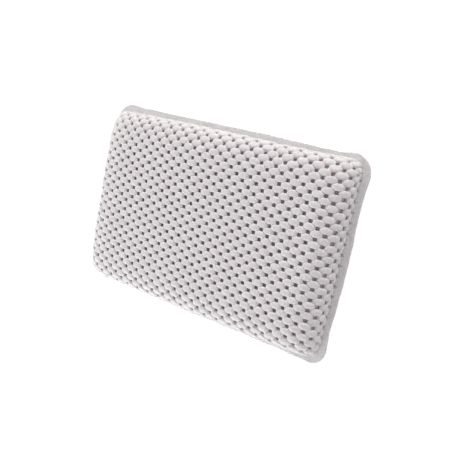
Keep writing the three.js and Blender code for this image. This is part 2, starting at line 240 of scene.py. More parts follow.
# %% Pressure fills the skin out
def fill_out(skin):
    """Runs the cloth simulation and gives the settled points back."""
    mesh = bpy.data.meshes.new("skin_trial")
    mesh.from_pydata(skin.reshape(-1, 3).tolist(), [], grid_faces(*SKIN_NODES))
    trial = new_piece("skin_trial", mesh)
    kept_still = skin[..., 2] > FOOT + CROWN_RISE * FOAM_HOLDS_FROM
    kept_still[[0, -1], :] = True
    kept_still[:, [0, -1]] = True
    held = trial.vertex_groups.new(name="held by the weld and the foam")
    held.add(np.flatnonzero(kept_still).tolist(), 1.0, "REPLACE")
    cloth = trial.modifiers.new("filling", "CLOTH")
    set_up(cloth.settings, vertex_group_mass=held.name, quality=8, mass=0.25, tension_stiffness=40,
           compression_stiffness=40, shear_stiffness=20, bending_stiffness=1, shrink_min=-COVER_SLACK,
           use_pressure=True, uniform_pressure_force=FILLING_PRESSURE)
    cloth.settings.effector_weights.gravity = 0
    set_up(cloth.point_cache, frame_start=1, frame_end=FILLING_FRAMES + 2)
    for step in range(1, FILLING_FRAMES + 1):
        bpy.context.scene.frame_set(step)
    settled = trial.evaluated_get(bpy.context.evaluated_depsgraph_get()).to_mesh()
    points = np.empty(len(settled.vertices) * 3)
    settled.vertices.foreach_get("co", points)
    bpy.data.objects.remove(trial)
    bpy.data.meshes.remove(mesh)
    bpy.context.scene.frame_set(1)
    return points.reshape(skin.shape)


moved = np.zeros_like(plain_skin)
moved = fill_out(plain_skin) - plain_skin
distance = np.linalg.norm(moved, axis=-1, keepdims=True)
moved = moved * np.minimum(1, FURTHEST_MOVE / np.maximum(distance, 1e-9))
skin_out = facing(plain_skin + moved)
print("furthest moves along x, y and z in mm:", (np.abs(moved).max(axis=(0, 1)) / MM).round(2))


# %% Reading the coarse skin smoothly between its points
def read_grid(grid, u, v):
    """Cubic spline through a coarse grid, for many addresses at once."""
    total = 0
    taps = []
    for distance, half, count in ((u, skin_half[0], grid.shape[0]), (v, skin_half[1], grid.shape[1])):
        place = (np.clip(distance / half, -1, 1) + 1) / 2 * (count - 1)
        whole = np.minimum(np.floor(place).astype(int), count - 2)
        part = place - whole
        weights = [(1 - part) ** 3 / 6, (3 * part ** 3 - 6 * part ** 2 + 4) / 6,
                   (-3 * part ** 3 + 3 * part ** 2 + 3 * part + 1) / 6, part ** 3 / 6]
        taps.append([(np.clip(whole + k - 1, 0, count - 1), w) for k, w in enumerate(weights)])
    for column, weight_u in taps[0]:
        for row, weight_v in taps[1]:
            total = total + grid[column, row] * (weight_u * weight_v)[..., None]
    return total


print("the middle moved by", (read_grid(moved, np.zeros(1), np.zeros(1))[0] / MM).round(2), "mm")

# %% [markdown]
# ## The margin
# Round the foot the net is pressed flat and welded to the sheet. Heat leaves the strip a little wavy,
# and its rounded corners stand out as small ears. The edge was cut a millimetre or two off in places,
# and tables along the four sides say by how much. The net's margin and the edge of the sheet share one
# outline and one wave, so both come from the same functions.


# %% Ears and waves of the margin
def ear_shift(x, y, share):
    """How far the corners stand out, at a share of the way from the foot to the outer edge."""
    centre = CUSHION_HALF + MARGIN_WIDTH - MARGIN_CORNER
    over = np.stack([np.abs(x) - centre[0], np.abs(y) - centre[1]], axis=-1)
    before = np.maximum(0, -over.min(axis=-1))
    reach = EAR_REACH * (1 + np.cos(math.pi * np.minimum(1, before / EAR_BLEND))) / 2
    out = unit(np.maximum(over, 0))
    return out * np.stack([np.sign(x), np.sign(y)], axis=-1) * (reach * share ** 1.5)[..., None]


# How much wider or narrower than even the margin was cut: stations along each side, and the cut there.
CUT_TOP = np.array([
    [-160, -150, -142, -128, -88, -60, 0, 40, 56, 88, 100, 120, 136, 144, 160],
    [1.5, 2.0, 2.3, 2.4, 2.0, 1.0, 0.9, 0.3, -0.4, -1, -1.4, -1.4, -2.5, -1.9, -0.7]
]) * MM
CUT_BOTTOM = np.array([
    [-165, -150, -130, -100, -40, 0, 118, 128, 138, 145, 152, 160, 168],
    [-2.0, -2.6, -1.8, -1.2, -0.8, 0, 0, 1.2, 0.2, 0.1, 1.6, 2.0, 1.6]
]) * MM
CUT_RIGHT = np.array([
    [-110, -104, -97, -88, -60, -40, -20, 0, 25, 50, 88, 110],
    [1.3, 1.3, 0.0, -1.3, -0.4, 0.5, 1.4, 1.1, 0.7, 0.0, 0.4, -0.4]
]) * MM
CUT_LEFT = np.array([
    [-105, -95, -80, 0, 70, 80, 90, 110],
    [-2.5, -1.5, -0.5, 0.0, -0.5, -1.8, -3.0, -3.2]
]) * MM
CUT_END_REACH = (0.75, 0.97)
CUT_SIDE_REACH = (0.65, 0.95)


def uneven_cut(x, y):
    """How far the cut edge lies outside an even outline, across and along the pillow."""
    across = np.where(x > 0, np.interp(y, *CUT_RIGHT), -np.interp(y, *CUT_LEFT))
    along = np.where(y > 0, np.interp(x, *CUT_TOP), -np.interp(x, *CUT_BOTTOM))
    across = across * smooth_step(*CUT_END_REACH, np.abs(x) / CUSHION_HALF[0])
    along = along * smooth_step(*CUT_SIDE_REACH, np.abs(y) / CUSHION_HALF[1])
    return np.stack([across, along], axis=-1)


# Waves round the margin: half a wave's height in mm, how many go round, and where they start.
EDGE_WANDER = ((0.22, 11, 0.4), (0.14, 29, 2.1), (0.08, 67, 1.3))
WRINKLES = ((0.16, 19, 0.9), (0.08, 43, 2.6), (0.03, 71, 0.2))
WRINKLE_REACH = (0.1, 0.8)


def wave(x, y, parts):
    """Sum of a few waves round the margin, in metres."""
    round_the_edge = np.arctan2(y / CUSHION_HALF[1], x / CUSHION_HALF[0])
    return sum(size * np.sin(round_the_edge * count + start) for size, count, start in parts) * MM


def lay_margin(place, past):
    """Moves points of the margin, which lie this far past the foot, to where the welding left them."""
    share = np.clip(past / MARGIN_WIDTH, 0, 1)
    x, y = place[..., 0], place[..., 1]
    shift = ear_shift(x, y, share)
    outward = unit(np.stack([x / CUSHION_HALF[0] ** 2, y / CUSHION_HALF[1] ** 2], axis=-1) ** 3)
    shift = shift + outward * (wave(x, y, EDGE_WANDER) * share)[..., None]
    shift = shift + uneven_cut(x, y) * share[..., None]
    rise = wave(x, y, WRINKLES) * smooth_step(*WRINKLE_REACH, share)
    return place + np.concatenate([shift, rise[..., None]], axis=-1)


print("margin", MARGIN_WIDTH / MM, "mm wide, and at its ears up to", EAR_REACH / MM, "mm more")

# %% [markdown]
# ## The net, drawn flat
# The vinyl was foamed onto a mesh of threads: every crossing swelled to an oval pad, and the gaps
# between four pads stayed open as small square holes. Displacing a fine grid would waste faces on flat
# ground and blur the thin creases. So each pad is built as it looks: an outline that follows the rims of
# its four holes and the creases to its four diagonal neighbours, then rings that climb to a crowned top.
# Neighbours share their points, so all pads together are one closed sheet.

# %% Sizes of the pattern
PAD_SPACING = 16.54 * MM
ROW_SPACING = 5.513 * MM
PATTERN_SHIFT = (0.259, 0.662)
PULLED_FROM_EDGE = 46 * MM
PULL_LOW = np.array([0.0, 0.045])
PULL_HIGH = np.array([0.015, 0.0])
ROW_BOW = 1.15 * MM
BOW_CENTRE = 30 * MM
BOW_REACH = 130 * MM
BOW_LIFT = 0.3
PAD_TOP_HALF = np.array([4.25, 2.8]) * MM
PAD_ROUNDNESS = 2.5
PAD_RISE = 2.6 * MM
PAD_UNEVENNESS = 0.06
CREASE_SHARE = 0.66
CORNER_SHARE = 0.30
SIDE_SHARE = 0.03
HOLE_HALF = np.array([2.02, 1.92]) * MM
WALL_CLOSING = 0.14
CLOSING_REACH = (-60 * MM, -12 * MM)
HOLE_SQUARENESS = 5.5
HOLE_ANGLES = (9, 45, 81, 99, 135, 171, 189, 225, 261, 279, 315, 351)
NET_DEPTH = 2.2 * MM
DIMPLE = 0.6 * MM
PRESSED_SHARE = 0.02
WALL_THINNING = 0.28
# Each ring of a pad: how far it is from the outline (0) to the top oval (1), and the share of the rise
# from the outline that it reaches above a hole's rim and above a crease. A pad turns over quickly at a
# hole, and runs out softly into a crease.
PAD_RINGS = ((0.33, 0.62, 0.16), (0.85, 0.93, 0.72), (1.25, 0.985, 0.95))

spacing = np.array([PAD_SPACING / 2, ROW_SPACING])
reach_u, reach_v = skin_half + MARGIN_WIDTH


def lattice_place(i, j):
    """Flat place of a point of the lattice: rows bow a little, and the net is pulled near its edges."""
    place = (np.array([i, j]) + PATTERN_SHIFT) * spacing
    place[1] -= ROW_BOW * (((place[0] - BOW_CENTRE) / BOW_REACH) ** 2 - BOW_LIFT)
    pulled_from = CUSHION_HALF - PULLED_FROM_EDGE
    past_low = np.maximum(-place - pulled_from, 0)
    past_high = np.maximum(place - pulled_from, 0)
    return place - past_low * PULL_LOW + past_high * PULL_HIGH


def hole_rim(angle):
    c, s = math.cos(math.radians(angle)), math.sin(math.radians(angle))
    power = 2 / HOLE_SQUARENESS
    return np.array([math.copysign(abs(c) ** power, c), math.copysign(abs(s) ** power, s)]) * HOLE_HALF


def hole_size(place):
    """Share of its full size that a hole keeps: the net is bunched on every wall but the right one."""
    level = max(abs(place[1]) - skin_half[1], -place[0] - skin_half[0])
    return 1 - WALL_CLOSING * smooth_step(*CLOSING_REACH, level)


rim = {angle: hole_rim(angle) for angle in HOLE_ANGLES}
# Walking round a pad: the hole beside it, the angles of the rim points met there, and then the crease
# to the diagonal neighbour, named by the corner of the lattice cell that it lies in.
walk = (((1, 0), (225, 189, 171, 135), (0, 0)),
        ((0, 1), (315, 279, 261, 225), (-1, 0)),
        ((-1, 0), (45, 9, 351, 315), (-1, -1)),
        ((0, -1), (135, 99, 81, 45), (0, -1)))
print("in mm, a hole is", (HOLE_HALF * 2 / MM).round(1), "and a pad's top", PAD_TOP_HALF * 2 / MM)

# %% Points and faces of the flat net
random = np.random.default_rng(41)
net_points = []
net_faces = []
known = {}


def net_point(name, place, height):
    """Gives the number of a point, making it when it is first asked for."""
    if name not in known:
        known[name] = len(net_points)
        net_points.append((place[0], place[1], height))
    return known[name]


def pairs_round(line):
    """Each point of a closed line with the one after it."""
    return zip(line, line[1:] + line[:1])


def pad_outline(i, j, layer, height, rise):
    """Round a pad, anticlockwise: its points' numbers, their places from its middle, their heights."""
    stops = []
    for (side_i, side_j), angles, (cell_i, cell_j) in walk:
        hole = lattice_place(i + side_i, j + side_j)
        for angle in angles:
            share = CORNER_SHARE if angle % 90 == 45 else SIDE_SHARE
            place = hole + rim[angle] * hole_size(hole)
            stops.append(((layer, i + side_i, j + side_j, angle), place, height + rise * share))
        crease = lattice_place(i + cell_i + 0.5, j + cell_j + 0.5)
        stops.append(((layer, "crease", i + cell_i, j + cell_j), crease, height + rise * CREASE_SHARE))
    numbers = [net_point(*stop) for stop in stops]
    return numbers, [stop[1] - lattice_place(i, j) for stop in stops], [stop[2] for stop in stops]


def add_pad(i, j):
    """One pad: its outline, the rings that climb to its crown, and its flat underside."""
    middle = lattice_place(i, j)
    rise = PAD_RISE * (1 + PAD_UNEVENNESS * random.standard_normal())
    lean = random.normal(0, PAD_UNEVENNESS, 2)
    outer, offsets, heights = pad_outline(i, j, "top", 0, PAD_RISE)
    oval = []
    for offset in offsets:
        share = (np.abs(offset / PAD_TOP_HALF) ** PAD_ROUNDNESS).sum() ** (1 / PAD_ROUNDNESS)
        oval.append(offset / share)
    for ring, (inward, over_hole, over_crease) in enumerate(PAD_RINGS):
        inner = []
        for k, (offset, top, low) in enumerate(zip(offsets, oval, heights)):
            place = offset + (top - offset) * min(inward, 1)
            place = place * (1 - 2 * max(inward - 1, 0))
            crease_part = (low / PAD_RISE - SIDE_SHARE) / (CREASE_SHARE - SIDE_SHARE)
            climbed = over_hole + (over_crease - over_hole) * crease_part
            leaning = rise * inward * (place / PAD_TOP_HALF * lean).sum()
            height = low + (rise - low) * climbed + leaning
            inner.append(net_point(("ring", i, j, ring, k), middle + place, height))
        for (a, b), (c, d) in zip(pairs_round(outer), pairs_round(inner)):
            net_faces.append((a, b, d, c))
        outer = inner
    crown = net_point(("crown", i, j), middle, rise)
    net_faces.extend((a, b, crown) for a, b in pairs_round(outer))
    below, _, _ = pad_outline(i, j, "bottom", -NET_DEPTH, 0)
    centre = net_point(("below", i, j), middle, -NET_DEPTH)
    net_faces.extend((b, a, centre) for a, b in pairs_round(below))


def add_hole(i, j):
    """Walls of an open hole, or a dimple where the hole was pressed shut in the margin."""
    place = lattice_place(i, j)
    upper, lower = ([known.get((layer, i, j, angle)) for angle in HOLE_ANGLES]
                    for layer in ("top", "bottom"))
    if None in upper:
        return 0
    is_open = (np.abs(place) + HOLE_HALF < skin_half).all()
    in_corner = (np.abs(place) > skin_half - HOLE_HALF).all()
    lid = None if is_open else net_point(("lid", i, j), place, 0 if in_corner else -DIMPLE)
    base = None if is_open else net_point(("base", i, j), place, -NET_DEPTH)
    for (a, b), (c, d) in zip(pairs_round(upper), pairs_round(lower)):
        if is_open:
            net_faces.append((b, a, c, d))
        else:
            net_faces.append((a, b, lid))
            net_faces.append((d, c, base))
    return int(is_open)


last_i = math.ceil(reach_u / spacing[0]) + 2
last_j = math.ceil(reach_v / spacing[1]) + 2
lattice = [(i, j) for i in range(-last_i, last_i + 1) for j in range(-last_j, last_j + 1)]
for i, j in lattice:
    if (i + j) % 2 == 0:
        add_pad(i, j)
open_holes = sum(add_hole(i, j) for i, j in lattice if (i + j) % 2)
print("flat net:", len(net_points), "points,", len(net_faces), "faces,", open_holes, "open holes")

# %% [markdown]
# The flat net is larger than it should be, and is cut along four straight lines while that is simple,
# before it is bent. Each cut leaves an open edge, which is filled at once so that the sheet stays closed.


# %% Cutting the flat net to its outline
def build_from(points, faces):
    """A bmesh from places and each face's numbers, and its points in that order."""
    build = bmesh.new()
    made = [build.verts.new(p) for p in points]
    for face in faces:
        build.faces.new([made[k] for k in face])
    return build, made


def open_edges(build):
    return sum(len(e.link_faces) != 2 for e in build.edges)


def cut_and_close(sheet, direction, distance):
    """Cuts the sheet along a line and closes the cut with a strip between its rims."""
    everything = sheet.verts[:] + sheet.edges[:] + sheet.faces[:]
    bmesh.ops.bisect_plane(sheet, geom=everything, dist=TINY / 10, plane_co=direction * distance,
                           plane_no=direction, clear_outer=True)
    along = Vector((abs(direction.y), abs(direction.x), 0))
    on_line = {v for e in sheet.edges if e.is_boundary for v in e.verts
               if abs(v.co.dot(direction) - distance) < TINY}

    def order(v):
        place = v.co.dot(along)
        return round(place, 7), v.co.z if place < 0 else -v.co.z

    low = sorted((v for v in on_line if v.co.z < -NET_DEPTH + TINY), key=order)
    high = sorted((v for v in on_line if v.co.z >= -NET_DEPTH + TINY), key=order)
    a, b = 0, 0
    while a < len(low) - 1 or b < len(high) - 1:
        low_is_next = a == 0 or b == len(high) - 1 or order(low[a + 1])[0] < order(high[b + 1])[0]
        if a < len(low) - 1 and low_is_next:
            sheet.faces.new((low[a], low[a + 1], high[b]))
            a += 1
        else:
            sheet.faces.new((low[a], high[b + 1], high[b]))
            b += 1
    return a + b


flat_sheet, _ = build_from(net_points, net_faces)
for x, y, distance in ((1, 0, reach_u), (-1, 0, reach_u), (0, 1, reach_v), (0, -1, reach_v)):
    print("a cut closed with", cut_and_close(flat_sheet, Vector((x, y, 0)), distance), "faces")
bmesh.ops.recalc_face_normals(flat_sheet, faces=flat_sheet.faces)
print("edges without two faces:", open_edges(flat_sheet))

# %% [markdown]
# ## The net, drawn over the cushion
# Every flat point is now sent to its place: its address gives the place on the skin, and its height is
# laid off straight outwards. The rows aren't ruled: the net was drawn askew by a few millimetres when it
# was pulled over, and a slow, seeded wander adds a few tenths. It is stretched thinner over the edge and
# down the walls. At the foot the welding bar pressed it to a thin strip with a trace of the pads. The
# last full pads end sharply there and lap a little over the strip's inner edge.


# %% Sending flat points to the cushion
WANDER = 0.12 * MM
WANDER_NODES = (18, 13)
# Where something changes near the foot: from this far to that far past it, less than zero inside.
PULL_FADES = (-8 * MM, -1 * MM)
TURNS_FLAT = (-1.4 * MM, 1.2 * MM)
GETS_THIN = (-2 * MM, 2 * MM)
WELD_STARTS = (-0.4 * MM, 1.0 * MM)
STRETCH_GROWS = (-50 * MM, -22 * MM)
# Painted shade of the margin: the pad height it is shaded as, and how much darker its dimples are.
MARGIN_SHADE_HEIGHT = 0.20
MARGIN_DIMPLE_SHADE = 1.5
row_wander = random.normal(0, WANDER, (*WANDER_NODES, 2))
# How far the net was pulled across and along when it was drawn over the cushion, at nodes spread
# evenly over the skin: one line from its lower to its upper edge for each node from left to right.
PULLED_ACROSS = np.array([
    [1.7, 1.1, 0.7, 0.9, 2.2, 4.8, 7.7],
    [1.0, 0.2, -0.1, 0, -0.2, 1.4, 4.2],
    [0.2, -0.3, -0.2, 0, -1.1, -1.0, 1.1],
    [-0.6, -0.1, 0.6, 0.7, -0.3, -1.0, -0.3],
    [-1.3, -0.1, 0.9, 0.9, 0, -0.4, 0.1],
    [-1.6, -0.6, 0.5, 0.5, -0.4, 0, 1.4],
    [-1.1, -0.4, 0, -0.2, -0.7, 0.5, 2.4],
    [-0.2, 0.2, 0.1, -0.3, -0.3, 0.9, 2.3],
    [0.7, 0.6, 0.3, -0.2, 0.1, 0.9, 1.8]
]) * MM
PULLED_ALONG = np.array([
    [1.4, 1.2, 1.1, 1.2, 1.3, 0.8, 0.1],
    [0.9, 0.4, 0.1, 0.4, 0.5, 0.3, -0.2],
    [0.3, -0.2, -0.4, -0.2, -0.2, -0.2, -0.3],
    [-0.1, 0, -0.1, -0.2, -0.6, -0.6, -0.2],
    [-0.4, 0.2, 0.3, 0, -0.7, -0.6, -0.1],
    [-0.8, -0.1, 0.2, 0, -0.4, -0.3, -0.3],
    [-0.3, -0.4, -0.3, -0.1, -0.1, -0.1, -1.0],
    [1.0, 0.3, -0.3, 0, 0.3, -0.3, -2.1],
    [2.6, 1.5, 0.4, 0, -0.3, -1.6, -3.5]
]) * MM
net_pull = np.stack([PULLED_ACROSS, PULLED_ALONG], axis=-1)


def in_weld(level):
    """0 inside the cushion's foot and 1 where the welding bar pressed the net."""
    return smooth_step(*WELD_STARTS, level)


def stretched(level):
    """Share of its thickness that the net keeps where it is pulled over the edge and down the walls."""
    return 1 - WALL_THINNING * smooth_step(*STRETCH_GROWS, level)


def drape(u, v, height):
    """Places for flat points of the net, or of a layer below it."""
    level = past_the_foot(u, v)
    inside = 1 - smooth_step(*PULL_FADES, level)
    wander = (read_grid(row_wander, u, v) + read_grid(net_pull, u, v)) * inside[:, None]
    u, v = u + wander[:, 0], v + wander[:, 1]
    place = lay_margin(skin_point(u, v) + read_grid(moved, u, v), np.maximum(level, 0))
    flat_share = smooth_step(*TURNS_FLAT, level)[:, None]
    out = unit(read_grid(skin_out, u, v))
    out = unit(out * (1 - flat_share) + np.array(UP) * flat_share)
    thinned = 1 - smooth_step(*GETS_THIN, level) * (1 - MARGIN_THICKNESS / NET_DEPTH)
    thinned = np.minimum(thinned, stretched(level))
    pressed = 1 - in_weld(level) * (1 - PRESSED_SHARE)
    return place + out * (height * np.where(height < 0, thinned, pressed))[:, None]


def to_mesh(build, name):
    """Turns a finished bmesh into a mesh and frees it."""
    mesh = bpy.data.meshes.new(name)
    build.to_mesh(mesh)
    build.free()
    return mesh


flat = np.array([v.co[:] for v in flat_sheet.verts])
for vertex, place in zip(flat_sheet.verts, drape(*flat.T)):
    vertex.co = place
bmesh.ops.triangulate(flat_sheet, faces=[f for f in flat_sheet.faces if len(f.verts) > 4])
net_mesh = to_mesh(flat_sheet, "open_net")
in_margin = in_weld(past_the_foot(*flat.T[:2]))
# In the margin this height only sets painted shade: the flat strip is left as it is, its dimples darken.
height_for_shade = np.clip(flat[:, 2] / PAD_RISE, -1, 1.2)
height_for_shade = height_for_shade * (1 - in_margin) + (MARGIN_SHADE_HEIGHT + MARGIN_DIMPLE_SHADE * height_for_shade) * in_margin
height_on_pad = net_mesh.attributes.new("height_on_pad", "FLOAT", "POINT")
height_on_pad.data.foreach_set("value", height_for_shade)
net_mesh.shade_smooth()
net = new_piece("open_net", net_mesh)
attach(net, "pillow")
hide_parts("mesh_cover")
triangles = sum(len(p.vertices) - 2 for p in net_mesh.polygons)
print("net:", len(net_mesh.vertices), "points,", triangles, "triangles")


# %% [markdown]
# ## The foam under the net
# A block of open-cell foam fills the cover, and shows dark through the holes. It is the same skin, laid
# a little deeper. Its underside is flat and has a pocket over each cup, cut with a boolean, where the
# cup's button head turns.

# %% Foam core
CORE_DEPTH = 2.6 * MM
CORE_NODES = (115, 79)
CORE_SEAT = SHEET_TOP + 0.3 * MM
CORE_EDGE = 0.2 * MM
CUP_PLACES = [(x * MM, y * MM) for y in (-52, 52) for x in (-114, -38, 38, 114)]
POCKET_RADIUS = 11.5 * MM
POCKET_TOP = 15.6 * MM
POCKET_SIDES = 48


def circle(x, y, radius, z, count):
    """Points of a level circle."""
    angles = [2 * math.pi * k / count for k in range(count)]
    return [(x + radius * math.cos(a), y + radius * math.sin(a), z) for a in angles]


def lathe(profile, sides, name):
    """A closed turned body from its half section, which starts and ends on the axis."""
    turned = bmesh.new()
    loops = []
    for radius, height in profile:
        if radius == 0:
            loops.append([turned.verts.new((0, 0, height))] * sides)
        else:
            loops.append([turned.verts.new(p) for p in circle(0, 0, radius, height, sides)])
    for below, above in zip(loops, loops[1:]):
        for (a, b), (c, d) in zip(pairs_round(below), pairs_round(above)):
            turned.faces.new(list(dict.fromkeys((a, b, d, c))))
    bmesh.ops.recalc_face_normals(turned, faces=turned.faces)
    return to_mesh(turned, name)


def combine(body, tool, operation):
    """Applies a boolean between two objects and removes the tool."""
    step = body.modifiers.new(operation.lower(), "BOOLEAN")
    set_up(step, object=tool, operation=operation, solver="EXACT")
    bpy.context.view_layer.update()
    result = bpy.data.meshes.new_from_object(body.evaluated_get(bpy.context.evaluated_depsgraph_get()))
    body.modifiers.clear()
    body.data = result
    bpy.data.objects.remove(tool)


fine_u, fine_v = np.meshgrid(np.linspace(-1, 1, CORE_NODES[0]) * skin_half[0],
                             np.linspace(-1, 1, CORE_NODES[1]) * skin_half[1], indexing="ij")
fine_u, fine_v = fine_u.ravel(), fine_v.ravel()
deep = CORE_DEPTH * stretched(past_the_foot(fine_u, fine_v))
core_top = skin_point(fine_u, fine_v) + read_grid(moved, fine_u, fine_v)
core_top = core_top - unit(read_grid(skin_out, fine_u, fine_v)) * deep[:, None]
core_top[:, 2] = np.maximum(core_top[:, 2], CORE_SEAT + CORE_EDGE)
numbers = np.arange(fine_u.size).reshape(CORE_NODES)
rim_numbers = np.concatenate([numbers[:, 0], numbers[-1, 1:], numbers[-2::-1, -1], numbers[0, -2:0:-1]])
core_build, core_points = build_from(core_top, grid_faces(*CORE_NODES))
edge_points = [core_points[k] for k in rim_numbers]
foot_points = [core_build.verts.new((*p.co.xy, CORE_SEAT)) for p in edge_points]
for (a, b), (c, d) in zip(pairs_round(edge_points), pairs_round(foot_points)):
    core_build.faces.new((b, a, c, d))
core_build.faces.new(foot_points)
bmesh.ops.recalc_face_normals(core_build, faces=core_build.faces)
core = new_piece("foam_block", to_mesh(core_build, "foam_block"))
low = SHEET_TOP - 2 * MM
pocket = [(0, low), (POCKET_RADIUS, low), (POCKET_RADIUS, POCKET_TOP), (0, POCKET_TOP)]
for x, y in CUP_PLACES:
    tool = new_piece("pocket_tool", lathe(pocket, POCKET_SIDES, "pocket_tool"))
    tool.location = (x, y, 0)
    combine(core, tool, "DIFFERENCE")
core.data.shade_smooth()
core.data.set_sharp_from_angle(angle=math.radians(40))
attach(core, "pillow")
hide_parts("foam_core")
print("foam block:", len(core.data.vertices), "points")

# %% [markdown]
# ## The back sheet
# A die-cut vinyl sheet closes the back. It has the outline of the net's margin, lies flat under the
# cushion and follows the margin's small waves outside it. Rings of points from the foot to the edge
# carry the waves, and the middle is one flat face with eight round holes. A second copy lies lower by
# the sheet's thickness, and the two are joined along every border, so the sheet is closed.

# %% Back sheet with its eight holes
CUP_HOLE = 4.1 * MM
EDGE_POINTS = 540
HOLE_POINTS = 40
SIDE_SAMPLES = 1201
RING_PLACES = (0, 1.5, 3, 4.5, 5.8, 6.5)


def rim_line(past):
    """Points round the margin at one distance past the foot, in even steps along each of its sides."""
    half = skin_half + past
    corners = np.array([(-1, -1), (1, -1), (1, 1), (-1, 1), (-1, -1)]) * half
    line = []
    for k in range(4):
        count = round(EDGE_POINTS / 2 * skin_half[k % 2] / skin_half.sum())
        shares = np.linspace(0, 1, SIDE_SAMPLES)[:, None]
        side = corners[k] * (1 - shares) + corners[k + 1] * shares
        place = lay_margin(skin_point(side[:, 0], side[:, 1]), np.full(len(side), past))
        walked = np.append(0, np.cumsum(np.linalg.norm(np.diff(place, axis=0), axis=1)))
        stops = np.linspace(0, walked[-1], count + 1)[:-1]
        line.append(np.stack([np.interp(stops, walked, place[:, axis]) for axis in range(3)], axis=-1))
    line = np.concatenate(line)
    line[:, 2] -= MARGIN_THICKNESS
    return line


sheet_build = bmesh.new()
rings = [[sheet_build.verts.new(p) for p in rim_line(past * MM)] for past in RING_PLACES]
for inner, outer in zip(rings, rings[1:]):
    for (a, b), (c, d) in zip(pairs_round(inner), pairs_round(outer)):
        sheet_build.faces.new((a, c, d, b))
inner_edges = [sheet_build.edges.get((rings[0][k], rings[0][k - 1])) for k in range(len(rings[0]))]
for x, y in CUP_PLACES:
    border = [sheet_build.verts.new(p) for p in circle(x, y, CUP_HOLE, SHEET_TOP, HOLE_POINTS)]
    inner_edges += [sheet_build.edges.new((border[k], border[k - 1])) for k in range(HOLE_POINTS)]
bmesh.ops.triangle_fill(sheet_build, edges=inner_edges, use_beauty=True, normal=UP)
borders = [e for e in sheet_build.edges if e.is_boundary]
upper_points = sheet_build.verts[:]
everything = upper_points + sheet_build.edges[:] + sheet_build.faces[:]
twin = bmesh.ops.duplicate(sheet_build, geom=everything)["vert_map"]
for point in upper_points:
    twin[point].co.z -= SHEET_THICKNESS
for edge in borders:
    a, b = edge.verts
    sheet_build.faces.new((a, b, twin[b], twin[a]))
bmesh.ops.recalc_face_normals(sheet_build, faces=sheet_build.faces)
print("sheet edges without two faces:", open_edges(sheet_build))
sheet_mesh = to_mesh(sheet_build, "vinyl_back")
sheet_mesh.shade_smooth()
sheet_mesh.set_sharp_from_angle(angle=math.radians(40))
back = new_piece("vinyl_back", sheet_mesh)
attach(back, "pillow")
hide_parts("back_sheet")
print("back sheet:", [round(d / MM, 1) for d in back.dimensions], "mm")

# %% [markdown]
# ## The suction cups
# Each cup is one moulding of clear soft vinyl: a thin domed skirt, a shoulder under the sheet, a neck
# through its hole, a button head that holds it there, and a tab to lift the lip. The body is turned from
# its half section, and the tab and its three grips are joined to it, so the cup is one closed skin. Eight
# objects share the one mesh, and each rides on its own cup, so each turns about its own neck.

# %% The cup's half section
CUP_HEIGHT = 10.5
NECK_TOP = 12.7
HEAD_TOP = 15.1
hollow = [(18.6 * s, 6 * (1 - s * s)) for s in np.linspace(0, 1, 13)]
lip = [(19.7, 0), (20, 0.25), (20, 0.95), (19.8, 1.2)]
skirt = [(7 + 13 * s, 1.2 + 6.8 * (1 - s * s)) for s in np.linspace(0.96, 0, 13)]
shoulder = [(7, 10.1), (6.85, 10.4), (6.5, CUP_HEIGHT), (3.9, CUP_HEIGHT), (3.6, 10.7)]
head = [(3.6, NECK_TOP - 0.1), (3.8, NECK_TOP), (6.3, NECK_TOP), (6.5, 12.9), (6.5, 13.5), (6.2, 14.0),
        (5.3, 14.7), (4.3, 15.0), (3.0, HEAD_TOP), (0, HEAD_TOP)]
section = [(r * MM, z * MM) for r, z in hollow + lip + skirt + shoulder + head]
print("half section of", len(section), "points")


# %% The cup with its tab
def rounded_bar(outline, low, high, name):
    """A flat bar with softened edges from a flat outline, all in millimetres."""
    low, high = low * MM, high * MM
    build = bmesh.new()
    face = build.faces.new([build.verts.new((x * MM, y * MM, low)) for x, y in outline])
    raised = bmesh.ops.extrude_face_region(build, geom=[face])
    for vertex in [g for g in raised["geom"] if isinstance(g, bmesh.types.BMVert)]:
        vertex.co.z = high
    bmesh.ops.recalc_face_normals(build, faces=build.faces)
    flat_edges = [e for e in build.edges if abs(e.verts[0].co.z - e.verts[1].co.z) < 1e-9]
    bmesh.ops.bevel(build, geom=flat_edges, offset=(high - low) * 0.25, segments=2, profile=0.5,
                    affect="EDGES")
    return new_piece(name, to_mesh(build, name))


CUP_SIDES = 64
TAB_START = 19.2
TAB_HALF_WIDTH = 4.5
TAB_END = 22.5
GRIP_PLACES = (22.6, 23.9, 25.2)
round_end = [(TAB_END + TAB_HALF_WIDTH * math.sin(a), -TAB_HALF_WIDTH * math.cos(a))
             for a in np.linspace(0, math.pi, 17)]
tab_outline = [(TAB_START, -TAB_HALF_WIDTH)] + round_end + [(TAB_START, TAB_HALF_WIDTH)]
cup_body = new_piece("cup_master", lathe(section, CUP_SIDES, "cup_master"))
combine(cup_body, rounded_bar(tab_outline, 0.3, 1.2, "tab"), "UNION")
for grip in GRIP_PLACES:
    bar = [(grip - 0.3, -2), (grip + 0.3, -2), (grip + 0.3, 2), (grip - 0.3, 2)]
    combine(cup_body, rounded_bar(bar, 1.0, 1.5, "grip_bar"), "UNION")
cup_mesh = cup_body.data
cup_mesh.shade_smooth()
cup_mesh.set_sharp_from_angle(angle=math.radians(45))
bpy.data.objects.remove(cup_body)

for k, (x, y) in enumerate(CUP_PLACES, start=1):
    cup = new_piece(f"clear_cup_{k}", cup_mesh)
    set_up(cup, location=(x, y, 0), rotation_euler=(0, 0, math.copysign(math.pi / 2, y)))
    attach(cup, f"cup_{k}")
    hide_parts(f"suction_cup_{k}")
print("one cup:", len(cup_mesh.vertices), "points, shared by", len(CUP_PLACES), "cups")

# %% [markdown]
# ## Finishes
# All four materials are vinyl or foam, and they share two effects: a fine grain, which is felt more
# than seen, and a tone that drifts a little from patch to patch. Each effect is a node group, built once
# and placed in every material with its own sizes and colours, so a change there changes them all alike.
# Coordinates are the object's own, in metres, so a grain of one millimetre is 1000 bumps per metre.


